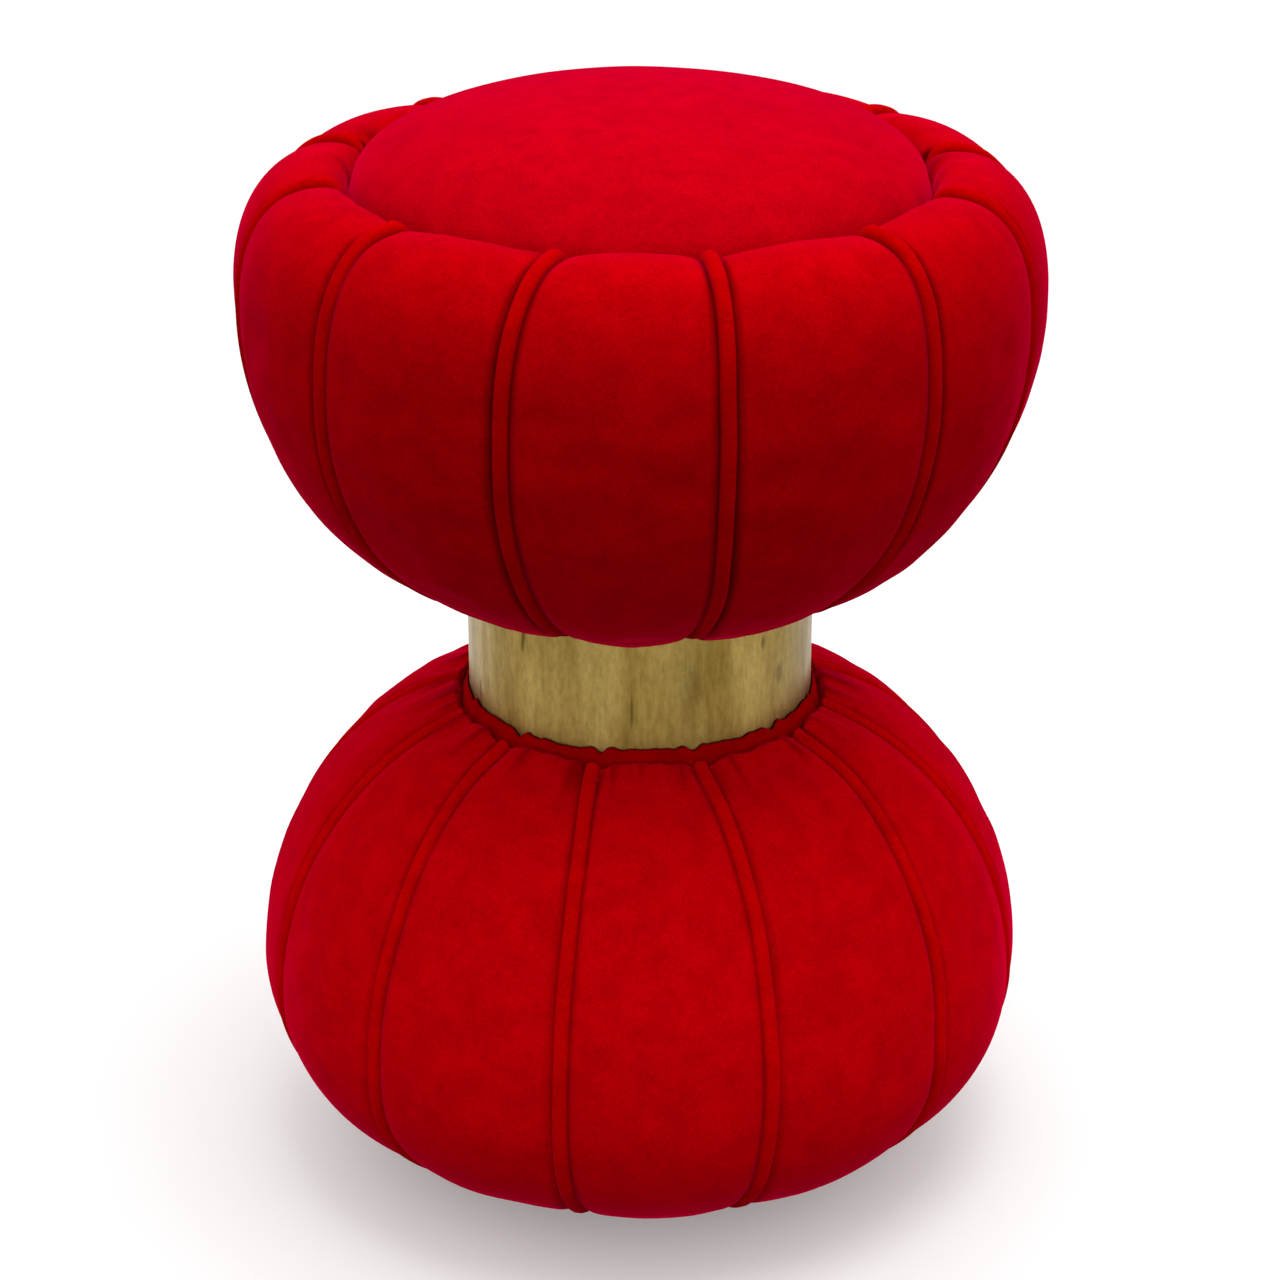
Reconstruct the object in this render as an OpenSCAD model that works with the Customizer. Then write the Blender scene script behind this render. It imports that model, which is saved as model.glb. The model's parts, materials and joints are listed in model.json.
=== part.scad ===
// Upholstered hourglass stool: two channelled poufs joined by a brass collar.
// The upper pouf, with its inset domed pad, turns on a flat ball swivel above the neck.
// The origin is the centre of the footprint on the floor, +Z is up, and the front faces -Y.

/* [Overall] */
// Diameter of both poufs, measured over the crowns of the padding
pouf_d = 380; // [376:1:384]
// Height of the widest part of the base above the floor
base_equator_z = 98; // [96:1:99]
// Height of the widest part of the seat above the floor
seat_equator_z = 445; // [444:1:447]
// Height of the top of the domed pad above the floor
seat_top_z = 541; // [528:1:545]
// Turn of the seat from the base at rest, in degrees
seat_turn = -7; // [-15:0.5:15]

/* [Padding] */
// Channels around each pouf
gores = 12; // [8:1:12]
// Thickness of a padded channel
panel_t = 12; // [11:0.5:13]
// Width of the groove that separates two channels
groove_w = 11; // [9:0.5:14]
// Width of a welt
welt_w = 7.6; // [6:0.2:8.4]
// Depth of a welt
welt_h = 7; // [5:0.5:8]
// How far a welt lies below the crowns of the channels
welt_sink = 0.8; // [0.5:0.1:3]
// Thickness of the foam behind the channels
foam_t = 22; // [20:0.5:24]

/* [Rim and pad] */
// Radius of the rim's crest
rim_r = 148; // [146:0.5:150]
// Height of the rim's crest above the widest part of the seat
rim_h = 64; // [62:0.5:66]
// Diameter of the pad
pad_d = 269; // [262:1:270]
// Thickness of the pad's velvet and its wadding
pad_cover_t = 3; // [2:0.2:4]

/* [Neck] */
// Outer diameter of the brass collar
collar_d = 170; // [169:0.5:171]
// Thickness of the collar's brass sheet
collar_t = 1; // [0.8:0.1:1.2]
// Height of the neck's top board above the floor
neck_top_z = 303; // [302.5:0.5:303.5]

/* [Swivel] */
// Height of the swivel over both plates
swivel_h = 15; // [15:0.1:15.4]
// Thickness of a swivel plate
plate_t = 3; // [2.6:0.1:3.2]
// Radius of a bearing ball
ball_r = 5; // [4.9:0.05:5.1]
// Number of bearing balls
balls = 16; // [8:1:20]

/* [Timber] */
// Thickness of the ribs and the seat's boards
ply = 15; // [12:1:16]
// Thickness of the base's boards
thick_ply = 18; // [16:1:18]
// Ribs in each frame
ribs = 6; // [3:1:6]

/* [Hidden] */
$fn = 96;

BASE_PARTS = [
    "base_board", "base_ribs", "neck_board", "base_screws", "neck_tube", "neck_cap", "neck_bolts",
    "neck_nuts", "base_foam", "base_welts", "neck_band", "brass_collar", "collar_pins",
    "dust_cover", "base_staples", "glides", "glide_screws"
];
SWIVEL_PARTS = [
    "swivel_lower_plate", "lower_plate_screws", "centre_rivet", "ball_retainer", "bearing_balls",
    "swivel_upper_plate", "upper_plate_screws"
];
SEAT_PARTS = [
    "seat_board", "seat_ribs", "rim_ring", "seat_screws", "seat_foam", "rim_foam", "seat_welts",
    "pad_board", "pad_foam", "pad_cover", "pad_bolts", "tee_nuts"
];

// Colours
velvet = "#B40018";
dark_velvet = "#7C0010";
brass = "#A8953F";
birch_ply = "#D2B48C";
board_grey = "#B9A88A";
foam = "#EFE3B0";
steel = "#A9AEB4";
black = "#222222";

// Clearances
gap = 0.4;              // between pieces of one body
hole_play = 0.15;       // around a fastener, on the radius
tight_play = 0.05;      // around a pressed-in pin or a thread, on the radius
recess_play = 0.2;      // under a head in its recess
cut = 1;                // how far a cutter passes its piece

// Outline of the padding. Above and below its widest part each pouf is an ellipse towards the
// neck. The base curves under on a second ellipse, and the seat's shoulder is a squarer curve
// up to the crest, from which the rim rolls down to the pad.
pouf_r = pouf_d / 2;
flank_r0 = 50;          // centre radius of the ellipse towards the neck
flank_h = 150;          // its half height
under_r0 = 80;          // centre radius of the ellipse under the base
base_lift = 3;          // height of that ellipse's lowest point
shoulder_power = 2.4;   // 2 is an ellipse, larger is squarer
shoulder_start = 1;     // from the widest part up to the second point of an outline's shoulder
roll_w = 11.5;          // from the crest in to the wall around the pad
roll_h = 17;            // from the crest down to the top of that wall
neck_taper = 0.42;      // share of an inset that the outline keeps at the neck and the inner wall
hem_taper = 0.33;       // share that it keeps under the base
arc_steps = 9;          // straight facets in each arc of an outline
welt_rise = 4;          // slant of a welt's cut ends at the hem and the neck
mouth_lip = 4;          // the bowl's lip, from its hem up to its mouth's straight wall
gore_angle = 360 / gores;

// Levels, from the floor up
glide_foot_h = 2.9;
dust_cover_z = 3.1;
dust_cover_t = 0.9;
base_hem_z = 4.3;
base_board_z = 12.5;
base_board_top = base_board_z + thick_ply;
base_foam_z = base_board_z + 6;
gore_top_z = 241;
neck_board_top = 226;
neck_board_z = neck_board_top - thick_ply;
collar_z = 232;
collar_top = neck_top_z + 5;
neck_cap_z = neck_top_z - thick_ply;
bowl_hem_z = 302.5;
seat_board_z = neck_top_z + swivel_h;
seat_board_top = seat_board_z + ply;
rim_ring_z = 460;
rim_ring_t = 17;
rim_ring_top = rim_ring_z + rim_ring_t;
welt_foot_z = rim_ring_top + 6;
pad_board_t = 12;
pad_board_top = rim_ring_top + pad_board_t;
pad_edge_z = 501;
pad_cover_z = rim_ring_top + 1;

// Radii
base_board_r = 112;
neck_board_r = 108;
seat_board_r = 108;
bowl_mouth_r = 88;
rim_ring_r = 160;
rim_ring_hole_r = 106;
pad_r = pad_d / 2;
pad_board_r = 128;
collar_r = collar_d / 2;
neck_r = collar_r - collar_t - 0.3;
neck_tube_t = 12;
band_in_r = collar_r + 1.3;
band_out_r = 92;
band_rise = 5.5;
band_lap = 1;           // how far its outer edge lies below the tops of the channels
dust_cover_r = 104;

// Ribs
rib_inset = panel_t + foam_t;
rib_in_r = 46;
rib_hole_r = 24;
rib_start = 30;
seat_rib_in_r = 52;
seat_rib_in_h = 35;
seat_rib_top_r = 110;
seat_rib_top_h = 24;
seat_rib_hole_ring_r = 112;
seat_rib_hole_drop = 48;

// Fasteners
screw_len = 45;
screw_r = 2.2;
screw_head_r = 4.4;
screw_head_h = 2.8;
inner_screw_ring_r = 62;
seat_screw_ring_r = 88;
rim_screw_ring_r = 138;
glide_ring_r = 80;
glides_n = 6;
glide_foot_r = 12;
glide_stem_r = 7;
glide_screw_len = 20;
glide_screw_z = 1.5;
glide_chamfer = 1;
neck_bolt_r = 4;
neck_bolt_ring_r = 40;
neck_bolts_n = 3;
neck_bolt_head_r = 10;
neck_bolt_head_h = 3;
neck_bolt_sink = 0.3;
neck_bolt_end = 4;
neck_bolt_head_z = neck_top_z - neck_bolt_sink - neck_bolt_head_h;
neck_nut_h = 6.5;
neck_nut_r = 7.5;
pad_bolt_r = 3;
pad_bolt_ring_r = 116;
pad_bolts_n = 3;
pad_bolt_head_r = 5.8;
pad_bolt_head_h = 4;
pad_bolt_end = 2;
tee_barrel_r = 4;
tee_barrel_end = 2;
tee_flange_r = 9.5;
tee_flange_t = 1.2;
pin_r = 0.9;
pin_len = 10;
pin_head_r = 2.1;
pin_head_h = 1.2;
pin_angle = 4;
pin_z = [256, 277];
collar_joint_w = 0.8;
staple_w = 10;
staple_wire = 0.7;
staple_leg = 6;
staple_angle = 7;
staple_from_edge = 3;

// Swivel
plate_r = 72;
race_r = 46;
race_play = 0.25;
ball_z = neck_top_z + swivel_h / 2;
retainer_w = 14;
retainer_t = 2;
rivet_r = 6;
rivet_bore_r = 3.5;
rivet_flange_r = 11;
rivet_flange_t = 2.5;
rivet_recess_r = 14;
rivet_play = 0.08;
rivet_end_play = 0.3;
rivet_top_z = seat_board_z + rivet_end_play + rivet_flange_t;
plate_screws_n = 4;
plate_screw_ring_r = 64;
plate_screw_len = 15;
plate_screw_head_h = 2.4;
access_hole_r = 7;
access_hole_ring_r = 61;

// ---------- Outlines in the (radius, height) plane ----------

// Elliptic arc around [r0, z0] from angle t0 to t1, without its first point if first is 1
function arc(r0, z0, a, b, t0, t1, first = 0) = [
    for (k = [first : arc_steps])
        let (t = t0 + (t1 - t0) * k / arc_steps)
        [r0 + a * cos(t), z0 + b * sin(t)]
];

function reversed(points) = [for (k = [len(points) - 1 : -1 : 0]) points[k]];

// The base's outline at a given inset from its surface, from z_low up to z_high
function base_curve(inset, z_low, z_high) =
    let (
        low_h = base_equator_z - base_lift - inset * hem_taper,
        high_h = flank_h - inset * neck_taper
    )
    concat(
        arc(under_r0, base_equator_z, pouf_r - under_r0 - inset, low_h,
            -asin((base_equator_z - z_low) / low_h), 0),
        arc(flank_r0, base_equator_z, pouf_r - flank_r0 - inset, high_h,
            0, asin((z_high - base_equator_z) / high_h), first = 1)
    );

// The bowl of the seat from z_low up to its widest part
function bowl_curve(inset, z_low) =
    let (bowl_h = flank_h - inset * neck_taper)
    arc(flank_r0, seat_equator_z, pouf_r - flank_r0 - inset, bowl_h,
        -asin((seat_equator_z - z_low) / bowl_h), 0);

// The seat's shoulder from z_low up to z_high, which is at most the crest
function shoulder_curve(inset, z_low, z_high) =
    let (
        a = pouf_r - rim_r - inset,
        b = rim_h - inset,
        t0 = asin(pow((z_low - seat_equator_z) / b, shoulder_power / 2)),
        t1 = asin(pow(min(1, (z_high - seat_equator_z) / b), shoulder_power / 2))
    )
    [
        for (k = [0 : arc_steps])
            let (t = t0 + (t1 - t0) * k / arc_steps)
            [rim_r + a * pow(max(0, cos(t)), 2 / shoulder_power),
             seat_equator_z + b * pow(sin(t), 2 / shoulder_power)]
    ];

// Height of the crest at an inset
function crest_z(inset) = seat_equator_z + rim_h - inset;

// The roll from the crest in and down to the wall around the pad
function roll_curve(inset, z_foot) = concat(
    arc(rim_r, crest_z(roll_h), roll_w - inset * neck_taper, roll_h - inset, 90, 180, first = 1),
    [[rim_r - roll_w + inset * neck_taper, z_foot]]
);

// The whole outline of a seat channel, from the bowl's hem over the rim to the wall's foot
function seat_curve(inset, z_low, z_foot) = concat(
    bowl_curve(inset, z_low),
    [for (k = [1 : arc_steps]) shoulder_curve(inset, seat_equator_z, crest_z(inset))[k]],
    roll_curve(inset, z_foot)
);

// Dome of the pad with its side, at an inset from its surface
function pad_dome(inset, z_foot) =
    let (r = pad_r - inset)
    concat([[r, z_foot]], arc(0, pad_edge_z, r, seat_top_z - pad_edge_z - inset, 0, 90));

// ---------- Shared shapes ----------

module turned(points) rotate_extrude() polygon(points);

module disc(r, z_low, z_high) translate([0, 0, z_low]) cylinder(r = r, h = z_high - z_low);

module around(n, start = 0) for (k = [0 : n - 1]) rotate([0, 0, start + k * 360 / n]) children();

module at_seat() rotate([0, 0, seat_turn]) children();

// Holes along Z on a circle, long enough to pass through any board
module holes(r, ring_r, n, start = 0)
    around(n, start)
        translate([ring_r, 0, -cut])
            cylinder(r = r, h = seat_top_z);

// Countersunk screw pointing down, with its head's top at the origin
module screw(len, play = 0) turned([
    [0, 0], [screw_head_r + play, 0], [screw_r + play, -screw_head_h],
    [screw_r + play, -len + screw_r], [0, -len - play]
]);

// Pan head screw pointing down, with the plane under its head at the origin
module pan_screw(len, play = 0) turned([
    [0, plate_screw_head_h], [screw_head_r * 0.6, plate_screw_head_h],
    [screw_head_r, plate_screw_head_h * 0.4], [screw_head_r, 0], [screw_r + play, 0],
    [screw_r + play, -len + screw_r], [0, -len - play]
]);

// A board on edge in the XZ plane, on one side of the axis
module upright_board(points, hole_at) rotate([90, 0, 0]) linear_extrude(ply, center = true)
    difference() {
        polygon(points);
        translate(hole_at) circle(r = rib_hole_r);
    }

// One channel between two seams: a sector of the padding less half a groove at each seam
module gore(outline, middle_angle) rotate([0, 0, middle_angle - gore_angle / 2])
    difference() {
        rotate_extrude(angle = gore_angle) polygon(outline);
        for (seam = [0, gore_angle])
            rotate([0, 0, seam])
                translate([0, -groove_w / 2, -cut])
                    cube([pouf_d, groove_w, seat_top_z + 2 * cut]);
    }

// Welts stand in the grooves, half a channel away from the front
module welts(outline) around(gores, -90 + gore_angle / 2)
    rotate([90, 0, 0])
        linear_extrude(welt_w, center = true)
            polygon(outline);

function gore_middle(i) = -90 + (i - 1) * gore_angle;

// ---------- Base: frame ----------

module base_screw_set(play = 0) {
    around(ribs, rib_start)
        translate([inner_screw_ring_r, 0, base_board_z])
            rotate([180, 0, 0]) screw(screw_len, play);
    around(ribs, rib_start)
        translate([inner_screw_ring_r, 0, neck_board_top])
            screw(screw_len, play);
}

module glide_screw_set(play = 0) around(glides_n)
    translate([glide_ring_r, 0, glide_screw_z])
        rotate([180, 0, 0]) screw(glide_screw_len, play);

module base_board() color(birch_ply) difference() {
    disc(base_board_r, base_board_z, base_board_top);
    base_screw_set(hole_play);
    glide_screw_set(hole_play);
}

module base_ribs() color(birch_ply) difference() {
    around(ribs, rib_start) upright_board(
        concat(
            base_curve(rib_inset, base_board_top, neck_board_z),
            [[rib_in_r, neck_board_z], [rib_in_r, base_board_top]]
        ),
        [(rib_in_r + pouf_r - rib_inset) / 2, (base_board_top + neck_board_z) / 2]
    );
    base_screw_set(hole_play);
}

module neck_board() color(birch_ply) difference() {
    disc(neck_board_r, neck_board_z, neck_board_top);
    base_screw_set(hole_play);
    holes(neck_bolt_r + hole_play, neck_bolt_ring_r, neck_bolts_n);
}

module base_screws() color(steel) base_screw_set();

module neck_tube() color(board_grey) difference() {
    disc(neck_r, neck_board_top, neck_cap_z);
    disc(neck_r - neck_tube_t, neck_board_top - cut, neck_cap_z + cut);
    collar_pin_set(hole_play);
}

module neck_cap() color(birch_ply) difference() {
    disc(neck_r, neck_cap_z, neck_top_z);
    disc(rivet_recess_r, neck_cap_z - cut, neck_top_z + cut);
    holes(neck_bolt_r + hole_play, neck_bolt_ring_r, neck_bolts_n);
    around(neck_bolts_n)
        translate([neck_bolt_ring_r, 0, 0])
            disc(neck_bolt_head_r + gap, neck_bolt_head_z, neck_top_z + cut);
    lower_plate_screw_set(hole_play);
    holes(access_hole_r, access_hole_ring_r, 1);
}

// Flat-headed bolts that clamp the neck tube between its two boards
module neck_bolts() color(steel) around(neck_bolts_n)
    translate([neck_bolt_ring_r, 0, 0]) {
        disc(neck_bolt_r, neck_board_z - neck_nut_h - neck_bolt_end, neck_bolt_head_z + cut);
        disc(neck_bolt_head_r, neck_bolt_head_z, neck_top_z - neck_bolt_sink);
    }

module neck_nuts() color(steel) around(neck_bolts_n)
    translate([neck_bolt_ring_r, 0, neck_board_z - neck_nut_h])
        difference() {
            cylinder(r = neck_nut_r, h = neck_nut_h, $fn = 6);
            disc(neck_bolt_r + tight_play, -cut, neck_nut_h + cut);
        }

// ---------- Base: upholstery ----------

module base_foam() color(foam) turned(concat(
    base_curve(panel_t + gap, base_foam_z, neck_board_top),
    [[neck_board_r + gap, neck_board_top], [neck_board_r + gap, neck_board_z + gap]],
    reversed(base_curve(rib_inset - gap, base_board_top - gap, neck_board_z + gap)),
    [[base_board_r + gap, base_board_top - gap], [base_board_r + gap, base_foam_z]]
));

module base_panel(i) {
    outer = base_curve(0, base_hem_z, gore_top_z);
    inner = base_curve(panel_t, base_board_z - gap, neck_board_top + gap);
    hem_r = outer[0].x;
    top_r = outer[len(outer) - 1].x;
    color(velvet) gore(
        concat(
            outer, [[top_r, neck_board_top + gap]],
            reversed(inner), [[hem_r, base_board_z - gap]]
        ),
        gore_middle(i)
    );
}

module base_welts() color(dark_velvet) welts(concat(
    base_curve(welt_sink, base_hem_z + gap, gore_top_z - gap),
    reversed(base_curve(welt_sink + welt_h, base_hem_z + welt_rise, gore_top_z - welt_rise))
));

// Soft velvet band, rising from the tops of the channels to the foot of the collar
module neck_band() color(dark_velvet) turned(concat(
    [[band_out_r, neck_board_top + gap]],
    arc(band_in_r, gore_top_z - band_lap, band_out_r - band_in_r, band_rise, 0, 90),
    [[band_in_r, neck_board_top + gap]]
));

module dust_cover() color(black) difference() {
    disc(dust_cover_r, dust_cover_z, dust_cover_z + dust_cover_t);
    holes(glide_stem_r + gap, glide_ring_r, glides_n);
}

// Two staples at the hem of each channel
module base_staples() color(steel)
    for (i = [1 : gores], side = [-1, 1])
        rotate([0, 0, gore_middle(i) + side * staple_angle])
            translate([dust_cover_r - staple_from_edge, 0, dust_cover_z - staple_wire]) {
                translate([-staple_wire / 2, -staple_w / 2, 0])
                    cube([staple_wire, staple_w, staple_wire]);
                for (y = [-staple_w / 2, staple_w / 2 - staple_wire])
                    translate([-staple_wire / 2, y, 0])
                        cube([staple_wire, staple_wire, staple_leg]);
            }

module glides() color(black) difference() {
    around(glides_n) translate([glide_ring_r, 0, 0]) turned([
        [0, 0], [glide_foot_r - glide_chamfer, 0], [glide_foot_r, glide_chamfer],
        [glide_foot_r, glide_foot_h],
        [glide_stem_r, glide_foot_h], [glide_stem_r, base_board_z], [0, base_board_z]
    ]);
    glide_screw_set(hole_play);
    around(glides_n)
        translate([glide_ring_r, 0, 0])
            disc(screw_head_r + gap, -cut, glide_screw_z + recess_play);
}

module glide_screws() color(steel) glide_screw_set();

// ---------- Collar ----------

// Rolled from one strip, with its butt joint at the back
module brass_collar() color(brass) difference() {
    disc(collar_r, collar_z, collar_top);
    disc(collar_r - collar_t, collar_z - cut, collar_top + cut);
    translate([-collar_joint_w / 2, 0, collar_z - cut])
        cube([collar_joint_w, pouf_r, collar_top - collar_z + 2 * cut]);
    collar_pin_set(tight_play);
}

// Round-headed pins on both sides of the butt joint
module collar_pin_set(play = 0)
    for (side = [-1, 1], z = pin_z)
        rotate([0, 0, 90 + side * pin_angle])
            translate([collar_r + pin_head_h, 0, z])
                rotate([0, -90, 0]) {
                    disc(pin_r + play, pin_head_h / 2, pin_head_h + pin_len);
                    if (play == 0)
                        turned([
                            [0, 0], [pin_head_r * 0.6, pin_head_h * 0.2],
                            [pin_head_r, pin_head_h * 0.95], [0, pin_head_h * 0.95]
                        ]);
                }

module collar_pins() color(brass) collar_pin_set();

// ---------- Swivel ----------

module race_groove() rotate_extrude() translate([race_r, ball_z]) circle(r = ball_r + race_play);

module lower_plate_screw_set(play = 0) around(plate_screws_n, 45)
    translate([plate_screw_ring_r, 0, neck_top_z + plate_t])
        pan_screw(plate_screw_len + plate_t, play);

module upper_plate_screw_set(play = 0) around(plate_screws_n, 45)
    translate([plate_screw_ring_r, 0, seat_board_z - plate_t])
        rotate([180, 0, 0]) pan_screw(plate_screw_len, play);

module swivel_lower_plate() color(steel) difference() {
    disc(plate_r, neck_top_z, neck_top_z + plate_t);
    disc(rivet_r + tight_play, neck_top_z - cut, neck_top_z + plate_t + cut);
    race_groove();
    holes(screw_r + hole_play, plate_screw_ring_r, plate_screws_n, 45);
    holes(access_hole_r, access_hole_ring_r, 1);
}

module lower_plate_screws() color(steel) lower_plate_screw_set();

// Hollow rivet: it holds the plates together, and the upper plate turns on it
module centre_rivet() color(steel) difference() {
    union() {
        disc(rivet_r, neck_top_z - rivet_flange_t, rivet_top_z);
        disc(rivet_flange_r, neck_top_z - rivet_flange_t, neck_top_z);
        disc(rivet_flange_r, rivet_top_z - rivet_flange_t, rivet_top_z);
    }
    disc(rivet_bore_r, neck_cap_z, seat_board_top);
}

module ball_retainer() color(brass) difference() {
    disc(race_r + retainer_w / 2, ball_z - retainer_t / 2, ball_z + retainer_t / 2);
    disc(race_r - retainer_w / 2, ball_z - retainer_t, ball_z + retainer_t);
    holes(ball_r + hole_play, race_r, balls);
}

module bearing_balls() color(steel) around(balls) translate([race_r, 0, ball_z]) sphere(r = ball_r);

module swivel_upper_plate() color(steel) at_seat() difference() {
    disc(plate_r, seat_board_z - plate_t, seat_board_z);
    disc(rivet_r + rivet_play, seat_board_z - plate_t - cut, seat_board_z + cut);
    race_groove();
    holes(screw_r + hole_play, plate_screw_ring_r, plate_screws_n, 45);
}

module upper_plate_screws() color(steel) at_seat() upper_plate_screw_set();

// ---------- Seat: frame ----------

module seat_screw_set(play = 0) {
    around(ribs, rib_start)
        translate([seat_screw_ring_r, 0, seat_board_z])
            rotate([180, 0, 0]) screw(screw_len, play);
    around(ribs, rib_start)
        translate([rim_screw_ring_r, 0, rim_ring_top])
            screw(screw_len, play);
}

module seat_board() color(birch_ply) at_seat() difference() {
    disc(seat_board_r, seat_board_z, seat_board_top);
    disc(rivet_recess_r, seat_board_z - cut, seat_board_top + cut);
    seat_screw_set(hole_play);
    upper_plate_screw_set(hole_play);
}

module seat_ribs() color(birch_ply) at_seat() difference() {
    around(ribs, rib_start) upright_board(
        concat(
            bowl_curve(rib_inset, seat_board_top),
            shoulder_curve(rib_inset, seat_equator_z + shoulder_start, rim_ring_z),
            [
                [seat_rib_top_r, rim_ring_z], [seat_rib_top_r, rim_ring_z - seat_rib_top_h],
                [seat_rib_in_r, seat_board_top + seat_rib_in_h], [seat_rib_in_r, seat_board_top]
            ]
        ),
        [seat_rib_hole_ring_r, seat_equator_z - seat_rib_hole_drop]
    );
    seat_screw_set(hole_play);
}

module rim_ring() color(birch_ply) at_seat() difference() {
    disc(rim_ring_r, rim_ring_z, rim_ring_top);
    disc(rim_ring_hole_r, rim_ring_z - cut, rim_ring_top + cut);
    seat_screw_set(hole_play);
    holes(pad_bolt_r + hole_play, pad_bolt_ring_r, pad_bolts_n);
}

module seat_screws() color(steel) at_seat() seat_screw_set();

// ---------- Seat: upholstery ----------

module seat_foam() color(foam) at_seat() turned(concat(
    bowl_curve(panel_t + gap, seat_board_z),
    shoulder_curve(panel_t + gap, seat_equator_z + shoulder_start, rim_ring_top),
    [[rim_ring_r + gap, rim_ring_top], [rim_ring_r + gap, rim_ring_z - gap]],
    reversed(shoulder_curve(rib_inset - gap, seat_equator_z + shoulder_start, rim_ring_z - gap)),
    reversed(bowl_curve(rib_inset - gap, seat_board_top - gap)),
    [[seat_board_r + gap, seat_board_top - gap], [seat_board_r + gap, seat_board_z]]
));

module rim_foam() color(foam) at_seat() turned(concat(
    shoulder_curve(panel_t + gap, rim_ring_top + gap, crest_z(panel_t + gap)),
    roll_curve(panel_t + gap, rim_ring_top + gap)
));

module seat_panel(i) {
    outer = seat_curve(0, bowl_hem_z, rim_ring_top + gap);
    inner = seat_curve(panel_t, seat_board_z - gap, rim_ring_top + gap);
    color(velvet) at_seat() gore(
        concat(
            outer, reversed(inner),
            [[bowl_mouth_r, seat_board_z - gap], [bowl_mouth_r, bowl_hem_z + mouth_lip]]
        ),
        gore_middle(i)
    );
}

module seat_welts() color(dark_velvet) at_seat() welts(concat(
    seat_curve(welt_sink, bowl_hem_z + gap, welt_foot_z),
    reversed(seat_curve(welt_sink + welt_h, bowl_hem_z + welt_rise, welt_foot_z))
));

// ---------- Pad ----------

module pad_board() color(birch_ply) at_seat() difference() {
    disc(pad_board_r, rim_ring_top, pad_board_top);
    holes(tee_barrel_r + hole_play, pad_bolt_ring_r, pad_bolts_n);
    around(pad_bolts_n)
        translate([pad_bolt_ring_r, 0, 0])
            disc(tee_flange_r + gap, pad_board_top - tee_flange_t - recess_play, pad_board_top + cut);
}

module pad_foam() color(foam) at_seat() turned(concat(
    [[0, pad_board_top]], pad_dome(pad_cover_t + gap, pad_board_top)
));

module pad_cover() color(velvet) at_seat() turned(concat(
    pad_dome(0, pad_cover_z), reversed(pad_dome(pad_cover_t, pad_cover_z))
));

// Hexagon-headed bolts, up through the rim ring
module pad_bolts() color(steel) at_seat() around(pad_bolts_n)
    translate([pad_bolt_ring_r, 0, rim_ring_z]) {
        translate([0, 0, -pad_bolt_head_h]) cylinder(r = pad_bolt_head_r, h = pad_bolt_head_h, $fn = 6);
        cylinder(r = pad_bolt_r, h = rim_ring_t + pad_board_t - pad_bolt_end);
    }

module tee_nuts() color(steel) at_seat() around(pad_bolts_n)
    translate([pad_bolt_ring_r, 0, 0])
        difference() {
            union() {
                disc(tee_barrel_r, rim_ring_top + tee_barrel_end, pad_board_top);
                disc(tee_flange_r, pad_board_top - tee_flange_t, pad_board_top);
            }
            disc(pad_bolt_r + tight_play, rim_ring_top, pad_board_top + cut);
        }

// ---------- Assembly ----------

base_board();
base_ribs();
neck_board();
base_screws();
neck_tube();
neck_cap();
neck_bolts();
neck_nuts();
base_foam();
base_welts();
neck_band();
brass_collar();
collar_pins();
dust_cover();
base_staples();
glides();
glide_screws();
swivel_lower_plate();
lower_plate_screws();
centre_rivet();
ball_retainer();
bearing_balls();
swivel_upper_plate();
upper_plate_screws();
seat_board();
seat_ribs();
rim_ring();
seat_screws();
seat_foam();
rim_foam();
seat_welts();
pad_board();
pad_foam();
pad_cover();
pad_bolts();
tee_nuts();
for (i = [1 : gores]) {
    base_panel(i);
    seat_panel(i);
}
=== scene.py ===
import json
import math

import bpy
import numpy as np
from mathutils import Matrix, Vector, noise


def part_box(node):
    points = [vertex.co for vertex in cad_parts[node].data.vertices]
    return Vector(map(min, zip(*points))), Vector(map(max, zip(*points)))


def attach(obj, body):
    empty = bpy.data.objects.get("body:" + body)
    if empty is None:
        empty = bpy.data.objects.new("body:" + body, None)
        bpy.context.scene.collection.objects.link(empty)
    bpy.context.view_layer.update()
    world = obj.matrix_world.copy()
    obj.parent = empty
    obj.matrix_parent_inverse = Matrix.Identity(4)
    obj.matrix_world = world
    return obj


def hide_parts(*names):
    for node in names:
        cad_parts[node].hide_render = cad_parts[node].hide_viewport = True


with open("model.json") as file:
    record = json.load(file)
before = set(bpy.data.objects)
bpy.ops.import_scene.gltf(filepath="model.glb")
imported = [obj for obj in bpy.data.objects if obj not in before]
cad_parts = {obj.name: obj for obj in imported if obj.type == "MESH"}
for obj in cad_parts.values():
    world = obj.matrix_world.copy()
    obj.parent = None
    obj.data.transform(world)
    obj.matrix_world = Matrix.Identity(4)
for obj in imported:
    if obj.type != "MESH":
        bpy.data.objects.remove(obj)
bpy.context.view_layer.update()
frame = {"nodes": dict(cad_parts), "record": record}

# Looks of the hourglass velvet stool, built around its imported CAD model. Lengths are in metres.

MM = 0.001
GORES = 12
GORE_ANGLE = 2 * math.pi / GORES
FRONT = -math.pi / 2
TURN = {"base": 0.0, "seat": math.radians(-7)}


# ---------- Sizes read from the frame ----------

def widest(node):
    """Radius and height of the point of a CAD node that lies farthest from the axis."""
    vertices = frame["nodes"][node].data.vertices
    far = max(vertices, key=lambda v: v.co.x ** 2 + v.co.y ** 2)
    return math.hypot(far.co.x, far.co.y), far.co.z


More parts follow.
